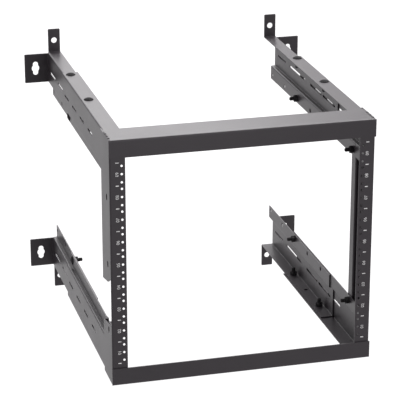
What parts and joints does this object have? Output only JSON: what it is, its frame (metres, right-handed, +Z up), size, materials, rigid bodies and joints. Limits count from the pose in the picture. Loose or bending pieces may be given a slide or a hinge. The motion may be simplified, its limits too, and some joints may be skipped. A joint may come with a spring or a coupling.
{
  "type": "wall mount rack",
  "caption": "Open-frame wall rack for 19-inch equipment: two welded U-shaped frames joined by perforated posts, with bolted wall arms that set the depth.",
  "frame": {"origin": "on the wall face of the upper left side tab, level with its keyhole's centre and 18 mm inboard of it", "axes": "+Y into the wall, -Y out of the rack's front, +Z up, +X to the right as seen from the front"},
  "size_m": [0.602, 0.63, 0.582],
  "materials": {
    "powder_coat": "satin black powder coat",
    "black_zinc": "black zinc plate"
  },
  "bodies": {
    "root": {"upper_frame": "powder_coat", "lower_frame": "powder_coat", "left_post": "powder_coat", "right_post": "powder_coat", "upper_left_wall_arm": "powder_coat", "upper_right_wall_arm": "powder_coat", "lower_left_wall_arm": "powder_coat", "lower_right_wall_arm": "powder_coat", "upper_left_flange_bolts": "black_zinc", "upper_left_flange_nuts": "black_zinc", "upper_left_lip_bolt": "black_zinc", "upper_left_lip_nut": "black_zinc", "upper_left_front_bolt": "black_zinc", "upper_left_front_nut": "black_zinc", "upper_right_flange_bolts": "black_zinc", "upper_right_flange_nuts": "black_zinc", "upper_right_lip_bolt": "black_zinc", "upper_right_lip_nut": "black_zinc", "upper_right_front_bolt": "black_zinc", "upper_right_front_nut": "black_zinc", "lower_left_flange_bolts": "black_zinc", "lower_left_flange_nuts": "black_zinc", "lower_left_lip_bolt": "black_zinc", "lower_left_lip_nut": "black_zinc", "lower_left_front_bolt": "black_zinc", "lower_left_front_nut": "black_zinc", "lower_right_flange_bolts": "black_zinc", "lower_right_flange_nuts": "black_zinc", "lower_right_lip_bolt": "black_zinc", "lower_right_lip_nut": "black_zinc", "lower_right_front_bolt": "black_zinc", "lower_right_front_nut": "black_zinc"}
  },
  "joints": []
}
